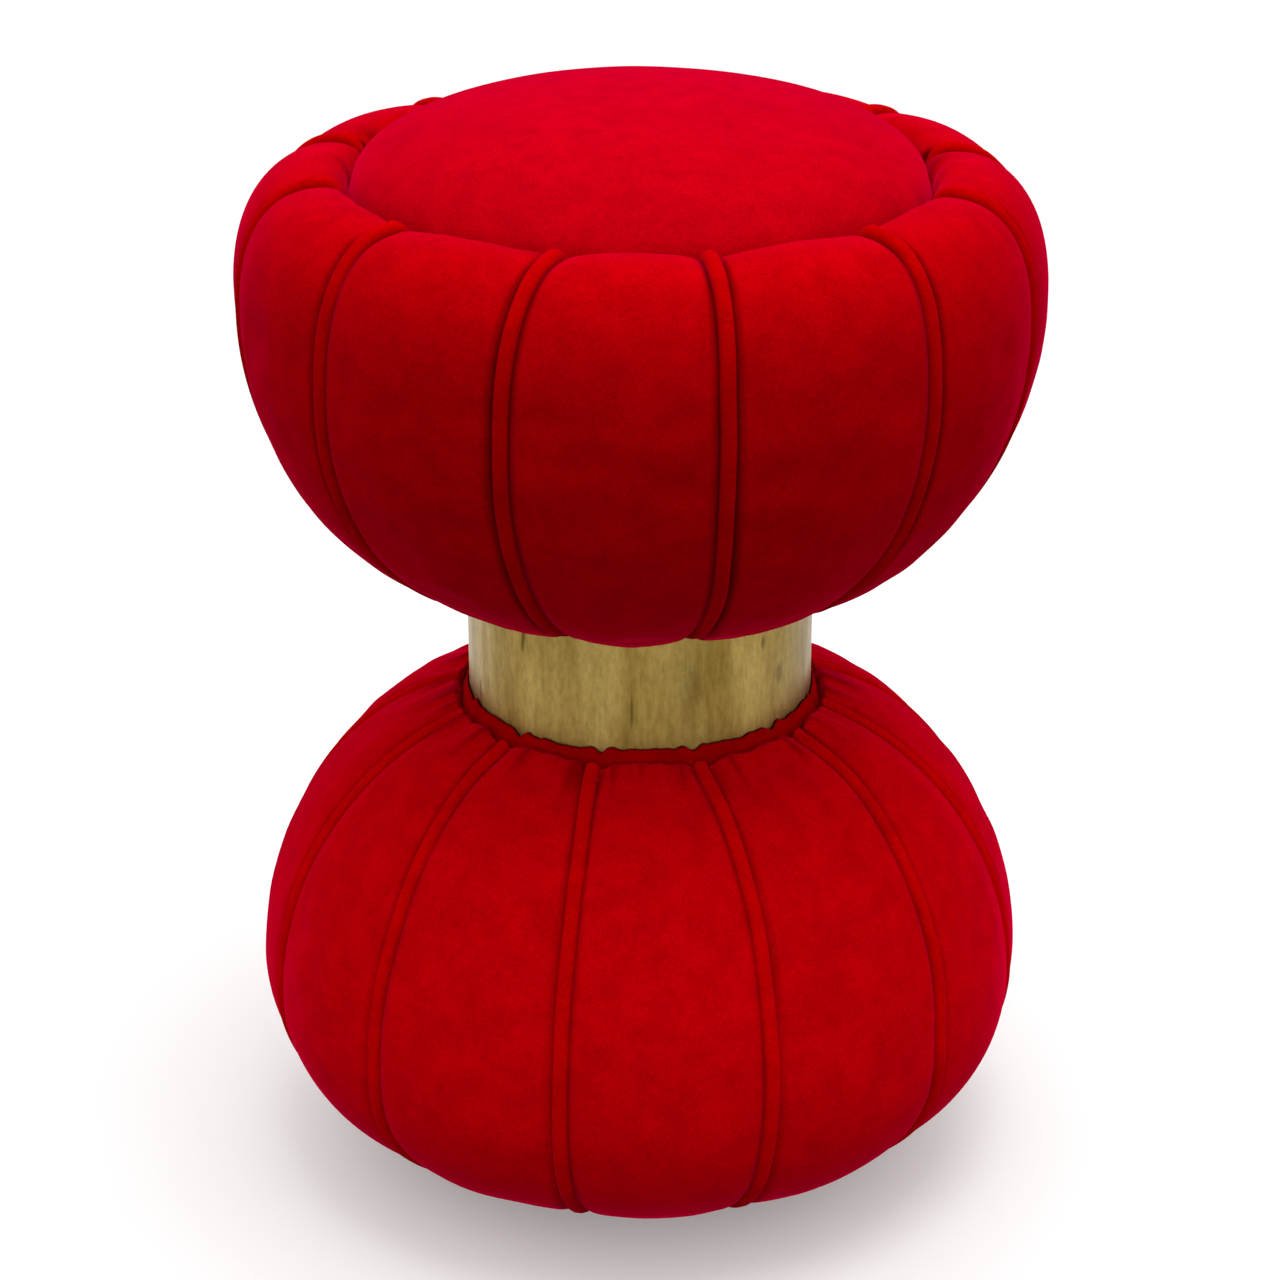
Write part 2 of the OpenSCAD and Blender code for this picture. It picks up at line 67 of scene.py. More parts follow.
PLUMP = 2.6 * MM
PANEL_R, BASE_EQUATOR = widest("base_panel_1")
POUF_R = PANEL_R + PLUMP
SEAT_EQUATOR = widest("seat_panel_1")[1]
HEM_Z, GORE_TOP = (corner.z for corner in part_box("base_panel_1"))
BOWL_HEM, CREST = (corner.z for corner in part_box("seat_panel_1"))
COLLAR_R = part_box("brass_collar")[1].x
BAND_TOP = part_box("neck_band")[1].z
PAD_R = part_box("pad_cover")[1].x
PAD_FOOT, PAD_TOP = (corner.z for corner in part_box("pad_cover"))
PAD_EDGE = 501 * MM

# The outline's curves, as in the CAD
FLANK_R0, FLANK_H = 50 * MM, 150 * MM
UNDER_R0, UNDER_Z0 = 80 * MM, 3 * MM
RIM_R = 148 * MM
SHOULDER_POWER = 2.4
ROLL_W, ROLL_H = 11.5 * MM, 17 * MM

# The covers' turned-in ends: radius, and how far past it the curve starts
MOUTH_R, MOUTH_LAP = 88.6 * MM, 4 * MM
HEM_R, HEM_LAP = 98.5 * MM, 6 * MM
TUCK_LAP = 0.5 * MM


# ---------- Outlines in the (radius, height) plane ----------

FLANK_STEPS, UNDER_STEPS, SHOULDER_STEPS, ROLL_STEPS = 30, 26, 24, 8
CORNER_CUT = 0.25
END_DENSITY = 0.5


def signed_power(x, power):
    return np.sign(x) * np.abs(x) ** power


def ellipse(r0, z0, a, b, t0, t1, n, power=2.0):
    """Points of an elliptic arc, or of a squarer one for a power above 2."""
    t = np.linspace(t0, t1, n)
    k = 2 / power
    return np.column_stack([r0 + a * signed_power(np.cos(t), k), z0 + b * signed_power(np.sin(t), k)])


def offsets(r, z, *pairs):
    """Points that lie pairs of mm away from (r, z)."""
    return np.array([[r + right * MM, z + up * MM] for right, up in pairs])


def rounded(points):
    """The same line with its corners cut twice."""
    for _ in range(2):
        cut = np.empty((2 * len(points) - 2, 2))
        cut[0::2] = (1 - CORNER_CUT) * points[:-1] + CORNER_CUT * points[1:]
        cut[1::2] = CORNER_CUT * points[:-1] + (1 - CORNER_CUT) * points[1:]
        points = np.vstack([points[:1], cut, points[-1:]])
    return points


def evenly(points, n, dense_ends=0.0):
    """The same line rounded, with n points. Above 0, dense_ends (at most 1) draws the points
    closer together towards both ends."""
    points = rounded(points)
    steps = np.hypot(*np.diff(points, axis=0).T)
    along = np.concatenate([[0], np.cumsum(steps)])
    t = np.linspace(0, 1, n)
    wanted = along[-1] * (t - dense_ends * np.sin(2 * math.pi * t) / (2 * math.pi))
    return np.column_stack([np.interp(wanted, along, points[:, k]) for k in (0, 1)])


def outward(line):
    """Unit normals of a line that runs up the outside of the stool."""
    tangent = np.gradient(line, axis=0)
    tangent /= np.hypot(*tangent.T)[:, None]
    return np.column_stack([tangent[:, 1], -tangent[:, 0]])


def seat_line(n):
    """From inside the bowl's mouth, out and up the bowl, over the rim and down to the pad's edge."""
    fold = offsets(MOUTH_R, BOWL_HEM, (0, 13), (0, 5), (2, 0.5), (6, -1))
    start = -math.asin((SEAT_EQUATOR - BOWL_HEM - MOUTH_LAP) / FLANK_H)
    bowl = ellipse(FLANK_R0, SEAT_EQUATOR, POUF_R - FLANK_R0, FLANK_H, start, 0, FLANK_STEPS)
    shoulder = ellipse(RIM_R, SEAT_EQUATOR, POUF_R - RIM_R, CREST - SEAT_EQUATOR,
                       0, math.pi / 2, SHOULDER_STEPS, SHOULDER_POWER)
    roll = ellipse(RIM_R, CREST - ROLL_H, ROLL_W, ROLL_H, math.pi / 2, math.pi, ROLL_STEPS)
    foot = offsets(RIM_R - ROLL_W, PAD_FOOT, (-0.9, 2))
    return evenly(np.vstack([fold, bowl, shoulder[1:], roll[1:], foot]), n, END_DENSITY)


def base_line(n):
    """From inside the hem under the base, out and up to the neck and down behind the neck band."""
    hem = offsets(HEM_R, HEM_Z, (0, 6), (0, 2), (2, 0))
    start = -math.acos((HEM_R + HEM_LAP - UNDER_R0) / (POUF_R - UNDER_R0))
    under = ellipse(UNDER_R0, BASE_EQUATOR, POUF_R - UNDER_R0, BASE_EQUATOR - UNDER_Z0,
                    start, 0, UNDER_STEPS)
    end = math.asin((GORE_TOP - TUCK_LAP - BASE_EQUATOR) / FLANK_H)
    flank = ellipse(FLANK_R0, BASE_EQUATOR, POUF_R - FLANK_R0, FLANK_H, 0, end, FLANK_STEPS)
    tuck = offsets(flank[-1, 0], GORE_TOP, (-2, 0.8), (-4.2, -0.5), (-5.4, -4), (-5.8, -10))
    return evenly(np.vstack([hem, under, flank[1:], tuck]), n, END_DENSITY)


# ---------- Seams ----------

# Where a seam strays from its even place: shares of the line, and degrees
WANDER = {
    "seat": {10: ((0.37, -4.0), (0.42, -2.5), (0.50, -1.3), (0.56, 0.0), (0.65, 1.0), (0.83, 1.5)),
             11: ((0.34, -0.7), (0.48, -0.8), (0.57, -0.2), (0.63, 0.3), (0.70, 1.5), (0.74, 2.2),
                  (0.83, 4.1)),
             0: ((0.35, 1.2), (0.41, 0.8), (0.49, 0.0), (0.60, -0.3), (0.83, -0.1)),
             1: ((0.34, 1.8), (0.39, 2.4), (0.48, 1.7), (0.63, 1.0), (0.74, 1.4))},
    "base": {10: ((0.38, -1.8), (0.44, -0.9), (0.60, -1.2), (0.69, -2.5), (0.83, -3.8)),
             11: ((0.40, -0.1), (0.64, -0.3), (0.74, -0.9), (0.81, -1.5), (0.91, -2.9)),
             0: ((0.40, 0.0), (0.52, 0.5), (0.64, 1.2), (0.73, 1.0), (0.80, 0.6), (0.90, -0.5)),
             1: ((0.41, 1.6), (0.46, 1.1), (0.50, 1.7), (0.54, 2.6), (0.62, 3.6), (0.72, 5.6),
                 (0.79, 7.0))},
}
SHARES = np.linspace(0, 1, 101)
# For the other seams, the noise's place: its pace along a seam, from seam to seam, and its layer
STRAY_PACE, STRAY_STEP, STRAY_LAYER = 2.5, 7.7, 4.5
STRAY_SMOOTHINGS = 8


def stray(body, index):
    """Degrees by which a seam strays from its even place, at each of SHARES."""
    if index in WANDER[body]:
        degrees = np.interp(SHARES, *np.array(WANDER[body][index]).T)
    else:
        degrees = np.array([noise.noise(Vector((STRAY_PACE * t, STRAY_STEP * index, STRAY_LAYER)))
                            for t in SHARES])
    for _ in range(STRAY_SMOOTHINGS):
        degrees[1:-1] = 0.25 * degrees[:-2] + 0.5 * degrees[1:-1] + 0.25 * degrees[2:]
    return degrees


def seam(body, index, count):
    """Angles about +Z of a seam at count points of its line. Seam 0 is just right of the front."""
    index %= GORES
    even = FRONT + (index + 0.5) * GORE_ANGLE + TURN[body]
    return even + np.radians(np.interp(np.linspace(0, 1, count), SHARES, stray(body, index)))


# ---------- Mesh helpers ----------

SEED_SHIFT = (7.31, 3.77, 5.19)


def new_object(name, vertices, faces):
    """A smooth-shaded mesh object in the scene."""
    mesh = bpy.data.meshes.new(name)
    mesh.from_pydata([tuple(v) for v in vertices], [], [tuple(int(i) for i in f) for f in faces])
    mesh.validate()
    mesh.polygons.foreach_set("use_smooth", [True] * len(mesh.polygons))
    mesh.update()
    piece = bpy.data.objects.new(name, mesh)
    bpy.context.scene.collection.objects.link(piece)
    return piece


def vectors_of(mesh, what):
    """The co or the normal of every vertex."""
    flat = np.empty(len(mesh.vertices) * 3)
    mesh.vertices.foreach_get(what, flat)
    return flat.reshape(-1, 3)


def move_to(mesh, points):
    mesh.vertices.foreach_set("co", points.ravel())
    mesh.update()


def grid_faces(rows, columns, start=0, wrap_rows=False, wrap_columns=False, flip=False):
    """Quads of a grid whose vertices lie row by row."""
    faces = []
    for i in range(rows if wrap_rows else rows - 1):
        for j in range(columns if wrap_columns else columns - 1):
            a = start + i * columns + j
            b = start + i * columns + (j + 1) % columns
            c = start + (i + 1) % rows * columns + (j + 1) % columns
            d = start + (i + 1) % rows * columns + j
            faces.append((a, d, c, b) if flip else (a, b, c, d))
    return faces


def full_circle(n):
    return np.linspace(0, 2 * math.pi, n, endpoint=False)


def spin(line, angles):
    """Points of a (radius, height) line at each angle about +Z, angle by angle."""
    r, z = line[:, 0], line[:, 1]
    return np.stack([np.outer(np.cos(angles), r), np.outer(np.sin(angles), r),
                     np.broadcast_to(z, (len(angles), len(z)))], axis=-1)


def ripple(points, seed, size, octaves=2):
    """Smooth seeded noise from about -1 to 1 at each point, with waves about size long."""
    shift = Vector([seed * step for step in SEED_SHIFT])
    return np.array([noise.fractal(Vector(p) / size + shift, 1.0, 2.0, octaves) for p in points])


def unit_ring(angles, height=0.0):
    """Points of a circle of radius 1 at each angle."""
    return np.column_stack([np.cos(angles), np.sin(angles), np.full(len(angles), height)])


def place(piece, body, slot, material, *nodes):
    """Puts a finished piece on its body, in the place of its CAD nodes."""
    piece.data.materials.clear()
    piece.data.materials.append(material)
    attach(piece, body)
    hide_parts(*nodes)
    return piece


def stitch(piece, loose):
    """Pins the cloth at every vertex, except for the share from 0 to 1 that is loose there."""
    group = piece.vertex_groups.new(name="stitched")
    for index, freedom in enumerate(loose):
        group.add([index], float(1 - freedom), "REPLACE")


# ---------- Places along an outline, as shares from 0 to 1 ----------

def near(distance, reach):
    """1 at no distance, falling to 0 at reach."""
    return np.clip(1 - distance / reach, 0, 1)


def near_crest(line):
    """How near each point of a line is to the rim's crest."""
    sideways = line[:, 0] - RIM_R
    away = np.where(sideways > 0, sideways / (34 * MM), -sideways / (12 * MM))
    away += np.clip(CREST - 4 * MM - line[:, 1], 0, None) / (30 * MM)
    return near(away, 1)


def near_neck(line):
    """How near each point of a line is to the tops of the base's channels."""
    return near(np.abs(GORE_TOP - line[:, 1]), 18 * MM)


def near_pad(line):
    """How far each point of a line lies down the rim's wall around the pad."""
    wall = np.clip((RIM_R - 4 * MM - line[:, 0]) / (6 * MM), 0, 1)
    return wall * (line[:, 1] > SEAT_EQUATOR)


def near_bowl_hem(line):
    """How near each point of a line is to the bowl's hem."""
    return near(np.abs(line[:, 1] - BOWL_HEM), 14 * MM)


def near_tuck(line):
    """How near each point of a line is to its upper end, where the cover is drawn together."""
    return near(np.hypot(*(line - line[-5]).T), 26 * MM)


# ---------- Padded channels ----------

ACROSS, ALONG = 25, 70
EDGE_GAP = 1.2 * MM
CROWN, CREST_CROWN = 3.0 * MM, 4.0 * MM
EDGE_ROLL, EDGE_REACH = 9.4 * MM, 9.2 * MM
BACK = 9.5 * MM
PAD_FLATTENING = 0.92
END_POINTS = 9
WAVE_SIZE, WAVE_DEPTH = 30 * MM, 0.12 * MM
GATHER_SIZE, GATHER_DEPTH, GATHER_STEP = 0.055, 2.8 * MM, 0.02
# Painted shade beside each seam: full up to SHADE_REACH less SHADE_FADE from the seam, gone at
# SHADE_REACH; and in the hollows of the gathers, GATHER_SHADE times their depth, at most
# GATHER_SHADE_MOST.
SHADE_REACH, SHADE_FADE = 6.4 * MM, 2.0 * MM
GATHER_SHADE, GATHER_SHADE_MOST = 2.0, 0.5


def puff(distance, half_width, peak):
    """How far below its crown a channel's cover lies, by the distance to its seam."""
    crown = (CROWN + (CREST_CROWN - CROWN) * peak) * near(distance, half_width) ** 2
    inside = np.clip(EDGE_REACH - distance, 0, None)
    return crown + EDGE_ROLL - np.sqrt(EDGE_ROLL ** 2 - inside ** 2)


def sunk(line, depth, angles):
    """Points of a line moved in by depth and turned to the angles about +Z."""
    normals = outward(line)
    r = line[:, 0] - normals[:, 0] * depth
    z = line[:, 1] - normals[:, 1] * depth
    return np.stack([r * np.cos(angles), r * np.sin(angles),
                     np.broadcast_to(z, angles.shape)], axis=-1).reshape(-1, 3)


def channel_points(line, left, right):
    """A channel's cover and back between two seams, and each cover point's distance to a seam."""
    r = line[:, 0]
    middle, half_angle = (left + right) / 2, (right - left) / 2
    t = np.linspace(-1, 1, ACROSS)
    v = np.sin(t * math.pi / 2) * 0.6 + t * 0.4
    phi = v[:, None] * (half_angle - EDGE_GAP / r)
    distance = r * (half_angle - np.abs(phi))
    drop = puff(distance, r * half_angle, np.maximum(near_crest(line), near_neck(line)))
    drop *= 1 - PAD_FLATTENING * near_pad(line)
    points = np.vstack([sunk(line, drop, middle + phi), sunk(line, BACK, middle + phi)])
    return points, distance.ravel()


def channel_faces():
    """Faces of a closed channel: its cover, its back and the strips between their edges."""
    n = ACROSS * ALONG
    faces = grid_faces(ACROSS, ALONG) + grid_faces(ACROSS, ALONG, n, flip=True)
    for a in range(0, n - ALONG, ALONG):
        b = a + ALONG
        faces.append((a, b, b + n, a + n))
    for a in range(ALONG - 1, n - 1, ALONG):
        b = a + ALONG
        faces.append((a, a + n, b + n, b))
    last = n - ALONG
    for i in range(ALONG - 1):
        faces.append((i, i + n, i + 1 + n, i + 1))
        faces.append((last + i, last + i + 1, last + i + 1 + n, last + i + n))
    return faces


def free_cover():
    """1 where a channel's cover may move, and 0 along its edges, vertex by vertex."""
    free = np.zeros((ACROSS, ALONG))
    free[2:-2, 1:-1] = 1
    return free.ravel()


def weight_ends(piece):
    """Weights a channel's two ends in the group of the cloth's shrink settings. Those settings read
    back as 0, but without the group the inflated channels differ by up to 1.3 mm, so it stays."""
    ends = piece.vertex_groups.new(name="ends")
    i = np.arange(ALONG)
    share = near(ALONG - 1 - i, END_POINTS) + 0.5 * near(i, END_POINTS)
    for index in range(ACROSS * ALONG):
        ends.add([index], float(share[index % ALONG]), "REPLACE")


def gathers(points, line, seed):
    """Short folds that run in from the end of a channel where its cover is drawn together."""
    ring = unit_ring(np.arctan2(points[:, 1], points[:, 0]), GATHER_STEP * seed)
    return ripple(ring, seed, GATHER_SIZE, 1) * np.tile(near_tuck(line), ACROSS)


def wrinkle(piece, folds, seed):
    """Raises a channel's cover by small waves and by its gathers."""
    n = ACROSS * ALONG
    points = vectors_of(piece.data, "co")
    bumps = ripple(points[:n], seed, WAVE_SIZE) * WAVE_DEPTH + folds * GATHER_DEPTH
    points[:n] += vectors_of(piece.data, "normal")[:n] * (bumps * free_cover())[:, None]
    move_to(piece.data, points)


def gore(name, line, left, right, seed, crease_shade):
    """A closed padded channel between two seams. Painted shade darkens its colour in the creases beside
    them, by as much as the last argument says, and in the hollows of its gathers.
    """
    n = ACROSS * ALONG
    points, distance = channel_points(line, left, right)
    piece = new_object(name, points, channel_faces())
    stitch(piece, np.concatenate([free_cover(), np.zeros(n)]))
    weight_ends(piece)
    folds = gathers(vectors_of(piece.data, "co")[:n], line, seed)
    wrinkle(piece, folds, seed)
    # Painted shade: a shade attribute that darkens the colour in the creases beside the seams and in the
    # hollows of the gathers.
    painted_seam_shade = crease_shade * np.clip((SHADE_REACH - distance) / SHADE_FADE, 0, 1)
    painted_gather_shade = np.clip(-GATHER_SHADE * folds, 0, GATHER_SHADE_MOST)
    shade = np.concatenate([np.maximum(painted_seam_shade, painted_gather_shade), np.zeros(n)])
    piece.data.attributes.new("shade", "FLOAT", "POINT").data.foreach_set("value", shade)
    return piece


# ---------- Welts ----------

WELT_SIZE, WELT_SINK, WELT_SIDES = 3.6 * MM, 4.6 * MM, 14
WELT_POINTS = 200
CREST_RISE, HEM_DIP = 1.8 * MM, 2.5 * MM
WOBBLE_SIZE, WOBBLE = 60 * MM, 0.7 * MM


def welt_section():
    """A cord's section, a little square: sideways and up, with its foot deep in the seam."""
    ring = full_circle(WELT_SIDES)
    c, s = np.cos(ring), np.sin(ring)
    return signed_power(c, 0.8) * WELT_SIZE, np.where(s > 0, 0.9, 2.0) * signed_power(s, 0.9) * WELT_SIZE


def welt(name, line, angles, seed):
    """A velvet-covered cord along a seam. It stands prouder where it passes over the rim's crest."""
    normals = outward(line)
    depth = WELT_SINK - CREST_RISE * near_crest(line) + HEM_DIP * near_bowl_hem(line)
    path = line - normals * depth[:, None]
    wobble = ripple(np.column_stack([path, np.zeros(len(path))]), seed, WOBBLE_SIZE) * WOBBLE
    side, up = welt_section()
    side = side + wobble[:, None]
    r = path[:, :1] + normals[:, :1] * up
    z = path[:, 1:] + normals[:, 1:] * up
    c, s = np.cos(angles)[:, None], np.sin(angles)[:, None]
    vertices = np.stack([r * c - side * s, r * s + side * c, z], axis=-1).reshape(-1, 3)
    faces = grid_faces(len(path), WELT_SIDES, wrap_columns=True)
    faces.append(tuple(range(WELT_SIDES))[::-1])
    faces.append(tuple(range(len(vertices) - WELT_SIDES, len(vertices))))
    return new_object(name, vertices, faces)


# ---------- Pad ----------

DOME_STEPS, PAD_POINTS, PAD_SIDES = 46, 60, 144
DENT_SEED, DENT_SIZE, DENT_DEPTH = 5, 70 * MM, 0.5 * MM
PAD_LOOSE_RISE = 4 * MM


def pad_line():
    """The pad's outline from the top of its dome, out, down its side and in under it."""
    dome = ellipse(0, PAD_EDGE, PAD_R, PAD_TOP - PAD_EDGE, math.pi / 2, 0, DOME_STEPS)[1:]
    side = offsets(PAD_R, PAD_EDGE, (2.0, -5), (2.5, -12))
    foot = offsets(PAD_R, PAD_FOOT, (-1, 4), (-8, 0))
    under = offsets(PAD_R * 0.5, PAD_FOOT, (0, 0))
    return evenly(np.vstack([dome, side, foot, under]), PAD_POINTS)


def pad():
    """The domed pad: a closed turned form with shallow dents."""
    points = spin(pad_line(), full_circle(PAD_SIDES)).reshape(-1, 3)
    vertices = np.vstack([points, [[0, 0, PAD_TOP]], [[0, 0, PAD_FOOT]]])
    faces = grid_faces(PAD_SIDES, PAD_POINTS, wrap_rows=True)
    top, bottom = len(points), len(points) + 1
    for i in range(PAD_SIDES):
        a, b = i * PAD_POINTS, (i + 1) % PAD_SIDES * PAD_POINTS
        faces.append((a, b, top))
        faces.append((b + PAD_POINTS - 1, a + PAD_POINTS - 1, bottom))
    dents = ripple(vertices, DENT_SEED, DENT_SIZE) * DENT_DEPTH
    vertices[:, 2] += dents * (vertices[:, 2] > PAD_EDGE)
    piece = new_object("seat_pad", vertices, faces)
    stitch(piece, np.clip((vertices[:, 2] - PAD_EDGE) / PAD_LOOSE_RISE, 0, 1))
    return piece


# ---------- Neck band ----------

BAND_R, BAND_POINTS, BAND_SIDES = 91 * MM, 26, 480
BAND_GATHER_SEED, BAND_GATHER = 3, 0.9 * MM
BAND_WAVE_SEED, BAND_WAVE_SIZE, BAND_WAVE = 8, 0.22, 1.2 * MM
# Beside each seam, a hump and a dip: their heights, and their places and widths in degrees
HUMP, HUMP_AT, HUMP_WIDTH = 0.9, 2.4, 1.8
DIP, DIP_AT, DIP_WIDTH = 2.4, -1.2, 1.6
FIRST_SEAM = math.radians(-75)


def band_line():
    """The band's closed section: up its outside to its top edge and down against the collar."""
    r = COLLAR_R + 0.25 * MM
    outside = offsets(BAND_R, GORE_TOP, (0, -13), (0, -7), (-1.5, -4.5))
    slope = offsets(r, GORE_TOP, (3, -3), (1.8, 1.5))
    edge = offsets(r, BAND_TOP, (0.8, -0.4), (0, -1.5))
    foot = offsets(r, GORE_TOP, (0, -13))
    return evenly(np.vstack([outside, slope, edge, foot]), BAND_POINTS)


def band_lift(angles):
    """How far the band's top edge is raised at each angle, by gathers, waves and the seams."""
    ring = unit_ring(angles)
    folds = ripple(ring, BAND_GATHER_SEED, GATHER_SIZE)
    waves = ripple(ring, BAND_WAVE_SEED, BAND_WAVE_SIZE)
    beside = np.degrees((angles - FIRST_SEAM + GORE_ANGLE / 2) % GORE_ANGLE - GORE_ANGLE / 2)
    hump = HUMP * np.exp(-((beside - HUMP_AT) / HUMP_WIDTH) ** 2)
    dip = DIP * np.exp(-((beside - DIP_AT) / DIP_WIDTH) ** 2)
    return folds * BAND_GATHER + waves * BAND_WAVE + (hump - dip) * MM


def neck_band():
    """The velvet band at the foot of the collar, with small gathers."""
    line, angles = band_line(), full_circle(BAND_SIDES)
    points = spin(line, angles)
    top = np.clip((line[:, 1] - (GORE_TOP - 6 * MM)) / (8 * MM), 0, 1)
    points[:, :, 2] += np.outer(band_lift(angles), top)
    faces = grid_faces(BAND_SIDES, BAND_POINTS, wrap_rows=True)
    for i in range(BAND_SIDES):
        a, b = i * BAND_POINTS, (i + 1) % BAND_SIDES * BAND_POINTS
        faces.append((b, a, a + BAND_POINTS - 1, b + BAND_POINTS - 1))
    return new_object("neck_band_velvet", points.reshape(-1, 3), faces)


# ---------- Cloth ----------

CLOTH_FRAMES = 20
CLOTH_REACH = 5 * MM
# Blender keeps shrink_max from going below shrink_min, so it reads back as 0
CLOTH = {
    "quality": 5, "mass": 0.25,
    "tension_stiffness": 12, "compression_stiffness": 12, "shear_stiffness": 6,
    "bending_stiffness": 0.15,
    "tension_damping": 8, "compression_damping": 8, "shear_damping": 8, "air_damping": 4,
    "vertex_group_mass": "stitched", "pin_stiffness": 1.0,
    "vertex_group_shrink": "ends", "shrink_min": -0.0, "shrink_max": -0.03,
    "use_pressure": True, "uniform_pressure_force": 4.0,
}


def add_cloth(piece):
    """Makes a padded piece inflate where it isn't stitched."""
    modifier = piece.modifiers.new("cloth", "CLOTH")
    for setting, value in CLOTH.items():
        setattr(modifier.settings, setting, value)
    modifier.settings.effector_weights.gravity = 0
    modifier.collision_settings.use_collision = False
    modifier.point_cache.frame_start = 1
    modifier.point_cache.frame_end = CLOTH_FRAMES


def run_cloth(pieces):
    """Steps through the frames and returns where each piece's vertices are on the last one."""
    scene = bpy.context.scene
    scene.frame_start, scene.frame_end = 1, CLOTH_FRAMES
    for step in range(1, CLOTH_FRAMES + 1):
        scene.frame_set(step)
    graph = bpy.context.evaluated_depsgraph_get()
    return {piece.name: vectors_of(piece.evaluated_get(graph).data, "co") for piece in pieces}


def simulate(pieces):
    """Runs the cloth of all pieces at once and keeps the last frame, its movement capped."""
    before = {piece.name: vectors_of(piece.data, "co") for piece in pieces}
    after = run_cloth(pieces)
    for piece in pieces:
        piece.modifiers.clear()
        move = after[piece.name] - before[piece.name]
        length = np.linalg.norm(move, axis=1, keepdims=True)
        move *= CLOTH_REACH / (CLOTH_REACH + length)
        move_to(piece.data, before[piece.name] + move)
    bpy.context.scene.frame_set(1)


def subdivide(piece):
    """Applies one level of subdivision."""
    piece.modifiers.new("smooth", "SUBSURF").levels = 1
    graph = bpy.context.evaluated_depsgraph_get()
    mesh = bpy.data.meshes.new_from_object(piece.evaluated_get(graph))
    piece.modifiers.clear()
    piece.data = mesh


def inflate(pieces):
    for piece in pieces:
        add_cloth(piece)
    simulate(pieces)
    for piece in pieces:
        subdivide(piece)


# ---------- Shader helpers ----------

def shader(name):
    material = bpy.data.materials.new(name)
    material.use_nodes = True
    tree = material.node_tree
    return material, tree, tree.nodes["Principled BSDF"]


def mapped(tree, scale=(1, 1, 1), shift=(0, 0, 0)):
    """Object coordinates, scaled and then shifted."""
    where = tree.nodes.new("ShaderNodeTexCoord")
    mapping = tree.nodes.new("ShaderNodeMapping")
    mapping.inputs["Scale"].default_value = scale
    mapping.inputs["Location"].default_value = shift
    tree.links.new(where.outputs["Object"], mapping.inputs["Vector"])
    return mapping.outputs["Vector"]


def noise_value(tree, vector, scale, detail=3.0, rough=0.6):
    node = tree.nodes.new("ShaderNodeTexNoise")
    node.inputs["Scale"].default_value = scale
    node.inputs["Detail"].default_value = detail
    node.inputs["Roughness"].default_value = rough
    tree.links.new(vector, node.inputs["Vector"])
    return node.outputs["Fac"]


def ramp(tree, value, stops):
    """A colour by value, from (position, colour) stops. A plain number as colour is a grey."""
    node = tree.nodes.new("ShaderNodeValToRGB")
    elements = node.color_ramp.elements
    while len(elements) < len(stops):
        elements.new(0.5)
    for element, (position, colour) in zip(elements, stops):
        element.position = position
        element.color = (*colour, 1) if isinstance(colour, tuple) else (colour, colour, colour, 1)
    tree.links.new(value, node.inputs["Fac"])
    return node.outputs["Color"]


def multiply(tree, a, b):
    """The product of two colours. The Mix node's inputs 0, 6 and 7 are its factor and colours."""
    node = tree.nodes.new("ShaderNodeMix")
    node.data_type = "RGBA"
    node.blend_type = "MULTIPLY"
    node.inputs[0].default_value = 1.0
    tree.links.new(a, node.inputs[6])
    tree.links.new(b, node.inputs[7])
    return node.outputs[2]


def bump(tree, bsdf, heights):
    """Chains (height socket, distance) pairs into the shader's normal."""
    previous = None
    for height, distance in heights:
        node = tree.nodes.new("ShaderNodeBump")
        node.inputs["Strength"].default_value = 1.0
        node.inputs["Distance"].default_value = distance
        tree.links.new(height, node.inputs["Height"])
        if previous is not None:
            tree.links.new(previous, node.inputs["Normal"])
        previous = node.outputs["Normal"]
    tree.links.new(previous, bsdf.inputs["Normal"])


# ---------- Materials ----------

NAP_SCALE, MOTTLE_SCALE, PILE_SCALE = 9, 70, 900
SHEEN_TINT = (1.0, 0.0, 0.07, 1)


def velvet(name, deep, bright, sheen):
    """Brushed pile, with painted shade: darker where the mesh's shade attribute marks a crease or a
    gather.
    """
    material, tree, bsdf = shader(name)
    where = mapped(tree)
    nap = noise_value(tree, where, NAP_SCALE, 3)
    mottle = noise_value(tree, where, MOTTLE_SCALE, 4, 0.65)
    pile = noise_value(tree, where, PILE_SCALE, 2, 0.7)
    # The shade attribute holds painted shade for creases and gathers; at its full value the colour falls
    # to 0.12 of itself.
    crease_shade = tree.nodes.new("ShaderNodeAttribute")
    crease_shade.attribute_name = "shade"
    colour = ramp(tree, nap, [(0.3, deep), (0.7, bright)])
    colour = multiply(tree, colour, ramp(tree, mottle, [(0.35, 0.84), (0.62, 1.0)]))
    colour = multiply(tree, colour, ramp(tree, pile, [(0.35, 0.80), (0.65, 1.04)]))
    colour = multiply(tree, colour, ramp(tree, crease_shade.outputs["Fac"], [(0.0, 1.0), (1.0, 0.12)]))
    tree.links.new(colour, bsdf.inputs["Base Color"])
    bsdf.inputs["Roughness"].default_value = 0.95
    bsdf.inputs["Specular IOR Level"].default_value = 0.0
    bsdf.inputs["Sheen Weight"].default_value = sheen
    bsdf.inputs["Sheen Roughness"].default_value = 0.35
    bsdf.inputs["Sheen Tint"].default_value = SHEEN_TINT
    bump(tree, bsdf, [(mottle, 0.15 * MM), (pile, 0.10 * MM)])
    return material


# Tarnish marks on the front of the collar: x, z and the two half sizes in mm, and their tone
TARNISH = [(-9.4, 264, 0.9, 13, 0.55), (54.5, 290, 1.6, 4, 0.55), (63.4, 270, 2.2, 7, 0.6),
           (18, 280, 7, 30, 0.85)]
